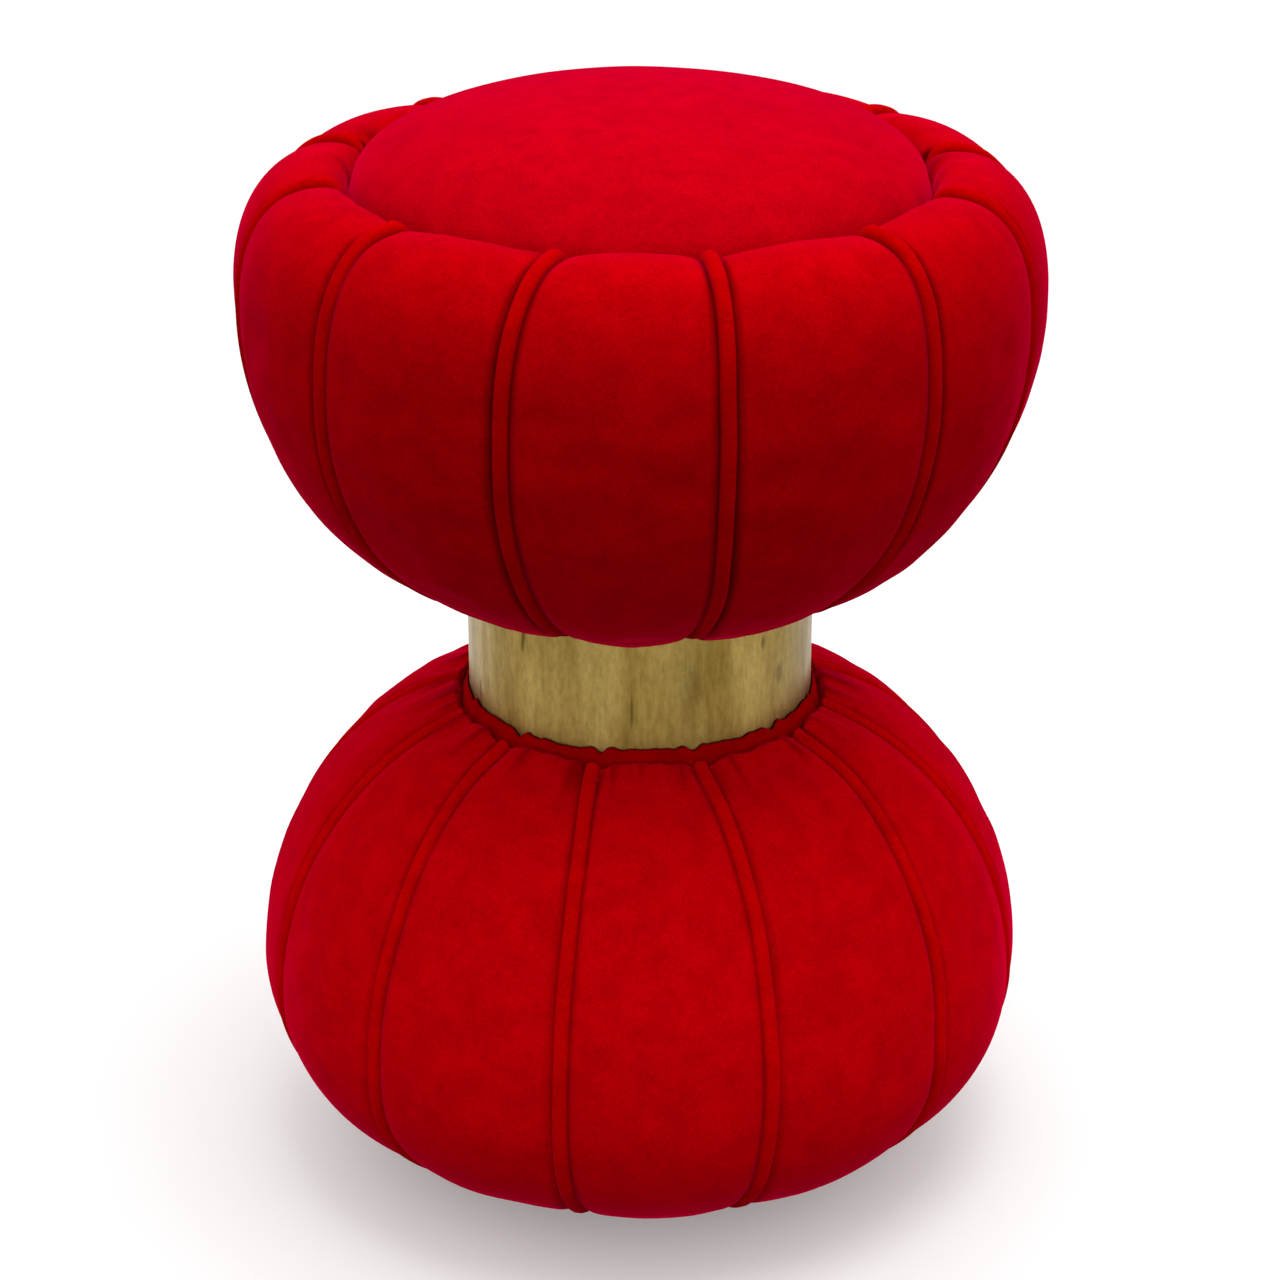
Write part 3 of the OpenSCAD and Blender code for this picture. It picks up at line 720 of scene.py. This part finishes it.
# What keeps a mark on the collar's front: a scale and a shift along Y
MARK_SCALE_Y, MARK_SHIFT_Y = 11, 0.85
MARK_EDGE = 0.55


def mark(tree, x, z, half_width, half_height):
    """A mask that is 1 in the middle of an oval on the collar's front and fades to 0 at its edge."""
    scale = (1 / half_width, MARK_SCALE_Y, 1 / half_height)
    oval = tree.nodes.new("ShaderNodeTexGradient")
    oval.gradient_type = "SPHERICAL"
    where = mapped(tree, scale, (-x * scale[0], MARK_SHIFT_Y, -z * scale[2]))
    tree.links.new(where, oval.inputs["Vector"])
    return oval.outputs["Fac"]


def tarnished(tree, colour):
    """The colour with the collar's own marks in it."""
    for *place_and_size, tone in TARNISH:
        mask = mark(tree, *(number * MM for number in place_and_size))
        colour = multiply(tree, colour, ramp(tree, mask, [(0.0, 1.0), (MARK_EDGE, tone)]))
    return colour


def aged_brass():
    """Old sheet brass: upright streaks, patches, specks and a few larger marks."""
    material, tree, bsdf = shader("aged_brass")
    streaks = noise_value(tree, mapped(tree, (1, 1, 0.16)), 60, 5, 0.65)
    patches = noise_value(tree, mapped(tree, (1, 1, 0.5)), 22, 4)
    specks = noise_value(tree, mapped(tree, (1, 1, 0.25)), 95, 2, 0.5)
    grain = noise_value(tree, mapped(tree, (1, 1, 0.4)), 420, 3, 0.7)
    colour = ramp(tree, streaks, [(0.32, (0.235, 0.150, 0.030)), (0.68, (0.40, 0.285, 0.085))])
    colour = multiply(tree, colour, ramp(tree, patches, [(0.35, (0.80, 0.79, 0.76)), (0.65, 1.0)]))
    colour = multiply(tree, colour, ramp(tree, grain, [(0.35, (0.80, 0.80, 0.78)), (0.6, 1.0)]))
    colour = multiply(tree, colour, ramp(tree, specks, [(0.69, 1.0), (0.74, (0.45, 0.42, 0.35))]))
    tree.links.new(tarnished(tree, colour), bsdf.inputs["Base Color"])
    bsdf.inputs["Metallic"].default_value = 1.0
    tree.links.new(ramp(tree, streaks, [(0.3, 0.42), (0.7, 0.30)]), bsdf.inputs["Roughness"])
    bump(tree, bsdf, [(streaks, 0.35 * MM), (grain, 0.05 * MM)])
    return material


def plain(name, colour, rough, metallic=0.0, scale=120):
    """A simple finish with a little variation of tone and a fine surface."""
    material, tree, bsdf = shader(name)
    tone = noise_value(tree, mapped(tree), scale, 4)
    dark = tuple(c * 0.88 for c in colour)
    tree.links.new(ramp(tree, tone, [(0.3, dark), (0.7, colour)]), bsdf.inputs["Base Color"])
    bsdf.inputs["Roughness"].default_value = rough
    bsdf.inputs["Metallic"].default_value = metallic
    bump(tree, bsdf, [(tone, 0.05 * MM)])
    return material


red_velvet = velvet("red_velvet", (0.57, 0.0, 0.002), (0.64, 0.0, 0.0025), 0.8)
# The pad's velvet is the same cloth as the rest, with a little more blue in its colour: a painted
# highlight tint for the crimson cast of its brightly lit top.
highlit_pad_velvet = velvet("highlit_pad_velvet", (0.57, 0.0, 0.0055), (0.64, 0.0, 0.006), 0.8)
welt_velvet = velvet("welt_velvet", (0.56, 0.0, 0.0), (0.64, 0.0, 0.001), 0.4)
# The band's velvet is the same cloth as the rest, with a darker colour that is painted shade for its
# recess under the bowl at the collar's foot; its sheen is lower too.
shaded_band_velvet = velvet("shaded_band_velvet", (0.33, 0.0, 0.0), (0.43, 0.0, 0.0), 0.2)

# By material slot. The two velvets here are on CAD nodes that other pieces replace.
FINISHES = {
    "aged_brass": aged_brass(),
    "retainer_brass": plain("retainer_brass", (0.60, 0.42, 0.16), 0.35, 1.0),
    "birch_ply": plain("birch_ply", (0.62, 0.42, 0.22), 0.6),
    "grey_board": plain("grey_board", (0.32, 0.25, 0.16), 0.85),
    "upholstery_foam": plain("upholstery_foam", (0.80, 0.68, 0.38), 0.95),
    "black_lining": plain("black_lining", (0.012, 0.012, 0.014), 0.9, scale=700),
    "black_nylon": plain("black_nylon", (0.015, 0.015, 0.017), 0.45),
    "zinc_steel": plain("zinc_steel", (0.50, 0.52, 0.54), 0.4, 1.0),
    "plate_steel": plain("plate_steel", (0.42, 0.44, 0.46), 0.45, 1.0),
    "polished_steel": plain("polished_steel", (0.65, 0.66, 0.68), 0.12, 1.0),
    "red_velvet": red_velvet,
    "welt_velvet": shaded_band_velvet,
}


# ---------- Build ----------

WELT_SEED = 40


def finish_cad_nodes():
    """Gives every CAD node the finish of its material slot."""
    for part in frame["record"]["subparts"]:
        slots = frame["nodes"][part["node"]].data.materials
        slots.clear()
        slots.append(FINISHES[part["material_slot"]])


def cover_pouf(body, outline, crease_shade):
    """Adds a pouf's channels and welts, and returns the channels."""
    channels = []
    for i in range(GORES):
        left, right = seam(body, i - 1, ALONG), seam(body, i, ALONG)
        if i == 0:
            left -= 2 * math.pi
        piece = gore(f"{body}_gore_{i + 1}", outline(ALONG), left, right, i, crease_shade)
        place(piece, body, "red_velvet", red_velvet, f"{body}_panel_{i + 1}")
        channels.append(piece)
        angles = seam(body, i, WELT_POINTS)
        cord = welt(f"{body}_welt_{i + 1}", outline(WELT_POINTS), angles, i + WELT_SEED)
        place(cord, body, "welt_velvet", welt_velvet, f"{body}_welts")
    return channels


def build():
    """Adds every soft piece and inflates the channels and the pad."""
    finish_cad_nodes()
    # The last values set how strong the painted crease shade is on each pouf.
    channels = cover_pouf("base", base_line, crease_shade=0.3) + cover_pouf("seat", seat_line, crease_shade=0.9)
    cushion = place(pad(), "seat", "red_velvet", highlit_pad_velvet, "pad_cover")
    inflate(channels + [cushion])
    band = place(neck_band(), "base", "welt_velvet", shaded_band_velvet, "neck_band")


# ---------- Camera, light and floor ----------

# A camera fitted to the photo
CAMERA_AT, CAMERA_AIM = (-0.0957, -1.4799, 0.9181), (0, 0, 0.2641)
LENS, SENSOR = 91.84, 36
FAR = 1000
FLOOR_HALF = 400
KEY_AT, KEY_AIM, KEY_SIZE, KEY_POWER = (0.25, -0.2, 2.3), (0, 0, 0.4), 1.5, 16
FILLS, FILL_R, FILL_Z, FILL_POWER = 5, 1.5, 0.2, 17
FILL_AIM, FILL_CONE, FILL_BLEND, FILL_SIZE = (0, 0, 0.03), math.radians(24), 0.9, 0.25
# The world's grey by height, raised by HORIZON. It is 1 from just under the horizon up to it, since
# a camera that clips the far floor sees it there. Farther down it is dim: it lights the object from
# below in place of the floor, which is hidden from diffuse light.
HORIZON = 0.05
WORLD_BY_HEIGHT = [(0.018, 0.04), (0.022, 1.0), (0.05, 1.0), (0.054, 0.55), (0.55, 0.88)]
WORLD_BY_DEPTH = [(0.0, 1.0), (0.5, 1.0), (0.9, 1.6)]


def aimed(name, data, at, aim):
    """Adds a camera or a light that looks from one point to another."""
    obj = bpy.data.objects.new(name, data)
    obj.location = at
    obj.rotation_euler = (Vector(aim) - Vector(at)).to_track_quat("-Z", "Y").to_euler()
    bpy.context.scene.collection.objects.link(obj)
    return obj


def add_camera():
    data = bpy.data.cameras.new("camera")
    data.lens = LENS
    data.sensor_width = SENSOR
    data.clip_end = FAR
    bpy.context.scene.camera = aimed("camera", data, CAMERA_AT, CAMERA_AIM)


def add_floor():
    h = FLOOR_HALF
    floor = new_object("floor", [(-h, -h, 0), (h, -h, 0), (h, h, 0), (-h, h, 0)], [(0, 1, 2, 3)])
    material, _, bsdf = shader("floor")
    bsdf.inputs["Base Color"].default_value = (0.86, 0.86, 0.86, 1)
    bsdf.inputs["Roughness"].default_value = 0.7
    bsdf.inputs["Emission Color"].default_value = (1, 1, 1, 1)
    bsdf.inputs["Emission Strength"].default_value = 0.2
    floor.data.materials.append(material)
    floor.visible_diffuse = False


def add_world():
    """A plain pale surround, brighter behind the object."""
    world = bpy.data.worlds.new("world")
    bpy.context.scene.world = world
    world.use_nodes = True
    tree = world.node_tree
    where = tree.nodes.new("ShaderNodeTexCoord")
    split = tree.nodes.new("ShaderNodeSeparateXYZ")
    tree.links.new(where.outputs["Generated"], split.inputs["Vector"])
    raised = tree.nodes.new("ShaderNodeMath")
    raised.inputs[1].default_value = HORIZON
    tree.links.new(split.outputs["Z"], raised.inputs[0])
    by_height = ramp(tree, raised.outputs[0], WORLD_BY_HEIGHT)
    by_depth = ramp(tree, split.outputs["Y"], WORLD_BY_DEPTH)
    sky = multiply(tree, by_height, by_depth)
    tree.links.new(sky, tree.nodes["Background"].inputs["Color"])
    tree.nodes["Background"].inputs["Strength"].default_value = 1.0


def add_key():
    """The large soft light above."""
    data = bpy.data.lights.new("key", "AREA")
    data.shape = "DISK"
    data.size = KEY_SIZE
    data.energy = KEY_POWER
    aimed("key", data, KEY_AT, KEY_AIM)


def add_fills():
    """Soft spots all round that light only the lower pouf."""
    for k in range(FILLS):
        name = f"fill_{k}"
        data = bpy.data.lights.new(name, "SPOT")
        data.energy = FILL_POWER
        data.spot_size = FILL_CONE
        data.spot_blend = FILL_BLEND
        data.shadow_soft_size = FILL_SIZE
        angle = FRONT + k * 2 * math.pi / FILLS
        aimed(name, data, (FILL_R * math.cos(angle), FILL_R * math.sin(angle), FILL_Z), FILL_AIM)


build()
add_camera()
add_floor()
add_world()
add_key()
add_fills()
bpy.context.scene.view_settings.view_transform = "Standard"
bpy.context.scene.view_settings.look = "None"
